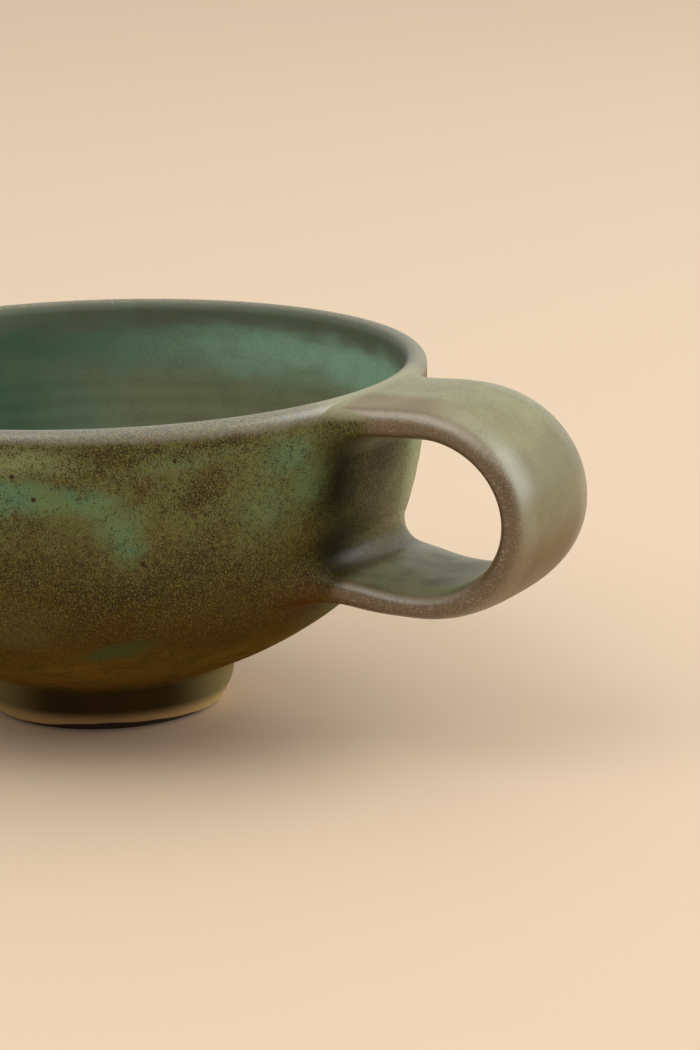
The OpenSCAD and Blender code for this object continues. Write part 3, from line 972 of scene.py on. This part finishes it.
def outside_glaze():
    """The wall's layers, breaking to the bloom on the lip."""
    material, tree, shader, place = new_material("outer_glaze")
    colour, fine = wall_colour(tree, place)
    colour = lip_layers(tree, place, colour, share_of(tree, "edge"), share_of(tree, "sage"), 0.7)
    on_wall = step(tree, height_of(tree, place), *SHINE_RISE)
    on_lip = step(tree, share_of(tree, "edge"), 0.2, 1.0)
    shine = weighed(tree, (on_lip, LIP_SHINE), (on_wall, WALL_SHINE))
    satin(tree, shader, place, colour, fine, WALL_ROUGH, 0.5, shine)
    return material


glazed(outer_coat, outside_glaze())

# %% [markdown]
# ## The glaze inside
#
# Poured glaze settles in zones: olive in the bowl, a teal band where it hung thick below the lip, and
# a grey edge above that. On one side the teal ran down into the bowl. The zones are steps in height
# with noise added, because a gradient that is the same all round would look printed.

# %% Inside glaze
TEAL_DEEP = light(77, 104, 82)
# A lighter teal: painted light on the side of the inside that faces the left panel
TEAL_LIT = light(150, 184, 156)
INNER_OLIVE = light(124, 127, 97)
INNER_GREY = light(108, 114, 96)
INNER_SPECK = light(84, 84, 58)
POOL_TURN = 152
# Distances towards the camera's right over which the teal turns lighter, as painted light
TEAL_LIGHT_RANGE = (44.0, -18.0)
TEAL_BAND = (45.0, 53.0)
GREY_BAND = (53.6, 58.4)


def inside_glaze():
    """Olive in the bowl, grey under the lip, and a teal band that runs down on one side and is painted
    lighter towards the camera's right.
    """
    material, tree, shader, place = new_material("inner_glaze")
    wander = stirred(tree, place, 18.0, 4.0)
    streaked = put(tree, "ShaderNodeVectorMath", {0: place, 1: (1.0, 1.0, 4.0)}, operation="MULTIPLY")
    drift = weighed(tree, (height_of(tree, place), 1.0), (cloud(tree, streaked, 11.0, 2.0), 5.0))
    fine = cloud(tree, place, 0.3, 2.0, 0.6)
    # Towards the camera's right the teal is painted lighter, where the inner wall faces the left panel:
    # painted light
    teal = mixed(tree, step(tree, along_view_right(tree, wander), *TEAL_LIGHT_RANGE), TEAL_LIT, TEAL_DEEP)
    band = step(tree, drift, *TEAL_BAND)
    run = patch(tree, stirred(tree, place, 9.0, 16.0), POOL_TURN, 38.0, 40.0, 36.0, 0.0, 0.2, 36.0)
    colour = mixed(tree, most(tree, [band, run]), INNER_OLIVE, teal)
    colour = mixed(tree, step(tree, drift, *GREY_BAND), colour, INNER_GREY)
    speck = weighed(tree, (fine, 0.6), (cloud(tree, place, 5.0), 0.4))
    speck = step(tree, speck, 0.46, 0.58, 0.0, 0.25)
    colour = mixed(tree, speck, colour, INNER_SPECK)
    colour = lip_layers(tree, place, colour, share_of(tree, "edge"), share_of(tree, "sage"), 0.2)
    shine = step(tree, share_of(tree, "edge"), 0.2, 1.0, 0.12, 0.4)
    satin(tree, shader, place, colour, fine, WALL_ROUGH, 0.4, shine)
    return material


glazed(inner_coat, inside_glaze())

# %% [markdown]
# ## The glaze on the handle
#
# The strap shows the glaze at its palest on the faces, while along the edges it breaks to brown. The
# brown is painted lighter on the side that faces the light and darker on the shaded side, with a pale
# band along the crest that is partly the glaze's bloom and partly a painted highlight, and painted
# glints for crystals that catch the light. At the roots the wall's glaze runs on over the strap. Two
# materials that meet would leave a line there, so this one holds the wall's layers too, and turns
# from them to its own by an attribute with noise added.

# %% Handle glaze
HANDLE_SPECK = light(104, 98, 66)
HANDLE_LIP = (CUP_H - 3.9, CUP_H - 0.8)
HANDLE_ROUGH = (0.28, 0.4)
FACE_SHINE = 0.12
EDGE_SHINE = 0.75


def handle_glaze():
    """Sage on the faces, tan where it thinned, brown edges in painted light and shade, a crest band that is
    partly a painted highlight, painted glints, the wall's glaze at the roots.
    """
    material, tree, shader, place = new_material("handle_glaze")
    wall, fine = wall_colour(tree, place)
    lip_edge = step(tree, height_of(tree, place), *HANDLE_LIP)
    wall = lip_layers(tree, place, wall, lip_edge, share_of(tree, "by_lip"), 0.7)
    blotch = cloud(tree, place, 6.0)
    grain = cloud(tree, place, 0.7, 4.0)
    mottle = mixed(tree, step(tree, cloud(tree, place, 5.0, 4.0), 0.36, 0.7), SAGE_GREEN, SAGE_DARK)
    colour = mixed(tree, share_of(tree, "outer"), SAGE, SAGE_OUT)
    colour = mixed(tree, share_of(tree, "in_loop"), colour, mottle)
    tan = weighed(tree, (share_of(tree, "tan"), 1.0), (blotch, 0.5), (grain, 0.3))
    colour = mixed(tree, step(tree, tan, 0.5, 1.35), colour, TAN)
    low = weighed(tree, (share_of(tree, "low"), 1.0), (blotch, 0.4), (grain, 0.3))
    colour = mixed(tree, step(tree, low, 0.35, 1.35), colour, TAN_LOW)
    speck = weighed(tree, (fine, 0.6), (blotch, 0.4))
    colour = mixed(tree, step(tree, speck, 0.46, 0.6, 0.0, 0.45), colour, HANDLE_SPECK)
    edge = weighed(tree, (share_of(tree, "edge"), 1.0), (grain, 0.3))
    # The brown edge is painted lighter on the side that faces the light and darker on the shaded side
    brown = mixed(tree, share_of(tree, "lit"), BROWN_SHADED, BROWN_LIT)
    colour = mixed(tree, step(tree, edge, 0.5, 1.1), colour, brown)
    # A pale band along the crest on the lit side of the upper run: partly the glaze's mauve bloom, partly a
    # painted highlight
    bloom = weighed(tree, (share_of(tree, "crest"), 1.0), (grain, 0.5))
    colour = mixed(tree, step(tree, bloom, 0.4, 1.6, 0.0, 0.85), colour, BLOOM_AND_HIGHLIGHT)
    # Painted glints: fine pale specks on the edges, for crystals that catch the light
    painted_glint = step(tree, cloud(tree, place, 0.2, 1.0), 0.6, 0.7)
    painted_glint = sums(tree, "MULTIPLY", painted_glint, step(tree, edge, 0.3, 1.0, 0.05, 0.7))
    colour = mixed(tree, painted_glint, colour, BLOOM_AND_HIGHLIGHT)
    rooted = weighed(tree, (share_of(tree, "sage"), 1.0), (cloud(tree, place, 1.5, 4.0), 0.5))
    on_strap = step(tree, rooted, 0.3, 0.95)
    colour = mixed(tree, on_strap, wall, colour)
    bright = sums(tree, "MULTIPLY", share_of(tree, "satin"), on_strap)
    shine = weighed(tree, (bright, EDGE_SHINE), (share_of(tree, "gloss"), FACE_SHINE))
    sparkle = step(tree, bright, 0.2, 1.0, 0.3, 1.0)
    satin(tree, shader, place, colour, fine, HANDLE_ROUGH, sparkle, shine)
    return material


glazed(handle_coat, handle_glaze())

# %% [markdown]
# ## The studio
#
# The floor is plain and pale. A wide panel on the right stands for a window, a soft one hangs high on
# the left, and the sky is brightest above and behind. An even sky alone would show the colours, but
# a satin glaze shows how round its edges are only by the soft lights that such panels draw on it.

# %% Floor
FLOOR_HALF = 3.0
FLOOR_COLOUR = light(230, 204, 174)
FLOOR_ROUGH = 0.7
floor_mesh = bpy.data.meshes.new("floor")
corners = [(-1, -1, 0), (1, -1, 0), (1, 1, 0), (-1, 1, 0)]
floor_mesh.from_pydata([tuple(FLOOR_HALF * v for v in c) for c in corners], [], [(0, 1, 2, 3)])
floor = bpy.data.objects.new("floor", floor_mesh)
bpy.context.scene.collection.objects.link(floor)
pale = bpy.data.materials.new("pale_floor")
pale.use_nodes = True
pale_shader = pale.node_tree.nodes["Principled BSDF"]
pale_shader.inputs["Base Color"].default_value = FLOOR_COLOUR
pale_shader.inputs["Roughness"].default_value = FLOOR_ROUGH
floor_mesh.materials.append(pale)
print(f"floor: {2 * FLOOR_HALF:.0f} m wide")

# %% Panels
# The level ways from the cup to the camera and to the camera's right
AZIMUTH = np.radians(33.7)
VIEW_BACK = np.array([np.sin(AZIMUTH), -np.cos(AZIMUTH), 0])
VIEW_RIGHT = np.array([np.cos(AZIMUTH), np.sin(AZIMUTH), 0])
CUP_MIDDLE = Vector((0, 0, 0.03))


def panel(name, back, right, up, size, power):
    """A square soft light that faces the cup, placed by metres towards the camera, to the right and up."""
    lamp = bpy.data.lights.new(name, "AREA")
    lamp.size = size
    lamp.energy = power
    made = bpy.data.objects.new(name, lamp)
    made.location = back * VIEW_BACK + right * VIEW_RIGHT + [0, 0, up]
    made.rotation_euler = (CUP_MIDDLE - made.location).to_track_quat("-Z", "Y").to_euler()
    bpy.context.scene.collection.objects.link(made)
    print(f"panel on the {name}: {size} m wide, {power} W")


panel("right", -0.05, 1.24, 0.66, 1.1, 11.5)
panel("left", 0.39, -0.68, 1.11, 1.1, 6.0)

# %% Sky
world = bpy.data.worlds.new("room")
bpy.context.scene.world = world
world.use_nodes = True
sky = world.node_tree
direction = sky.nodes.new("ShaderNodeTexCoord").outputs["Generated"]
BRIGHT_SIDE = -0.35 * VIEW_BACK + 0.35 * VIEW_RIGHT + [0, 0, 0.87]
BRIGHT_FROM, BRIGHT_TO = -0.2, 0.9
SKY_DIM, SKY_BRIGHT = 0.28, 0.82
SKY_TINT = (1.0, 0.99, 0.97, 1.0)
facing = put(sky, "ShaderNodeVectorMath", {0: direction, 1: BRIGHT_SIDE}, operation="DOT_PRODUCT")
sky_level = step(sky, facing, BRIGHT_FROM, BRIGHT_TO, SKY_DIM, SKY_BRIGHT)
fill(sky, sky.nodes["Background"].inputs["Color"], SKY_TINT)
fill(sky, sky.nodes["Background"].inputs["Strength"], sky_level)
bpy.context.scene.view_settings.view_transform = "Standard"
print(f"sky: {SKY_DIM} to {SKY_BRIGHT} bright")

# %% [markdown]
# ## The camera
#
# The camera stands where the photograph was taken: a little above the cup, turned so that the handle
# comes towards the right, with a long lens. A Track To constraint could aim it, but the cup lies off
# the middle of the picture. So its distance, turns and lens were fitted to the outlines of the lip,
# the handle and the foot, and are written as they came out.

# %% Camera
# Distances in millimetres, and the lens and the frame's long side in pixels
SENSOR = 36.0
DISTANCE = 600.06
ELEVATION = np.radians(14.821)
AIM_Z = 25.0
PAN, TILT, ROLL = np.radians([4.116, 0.341, 1.285])
FOCAL = 3568.6
FRAME_LONG = 1050
back_way = np.cos(ELEVATION) * VIEW_BACK + np.array([0, 0, np.sin(ELEVATION)])
eye = (DISTANCE * back_way + [0, 0, AIM_Z]) * MM
level = Matrix([VIEW_RIGHT, np.cross(back_way, VIEW_RIGHT), back_way]).transposed()
aimed = Matrix.Rotation(-PAN, 3, "Z") @ level
aimed = aimed @ Matrix.Rotation(TILT, 3, "X") @ Matrix.Rotation(-ROLL, 3, "Z")
camera = bpy.data.objects.new("camera", bpy.data.cameras.new("camera"))
camera.data.sensor_width = SENSOR
camera.data.lens = SENSOR * FOCAL / FRAME_LONG
camera.matrix_world = Matrix.Translation(Vector(eye)) @ aimed.to_4x4()
bpy.context.scene.collection.objects.link(camera)
bpy.context.scene.camera = camera
print(f"lens {camera.data.lens:.1f} mm, eye at", [round(float(v), 3) for v in eye])
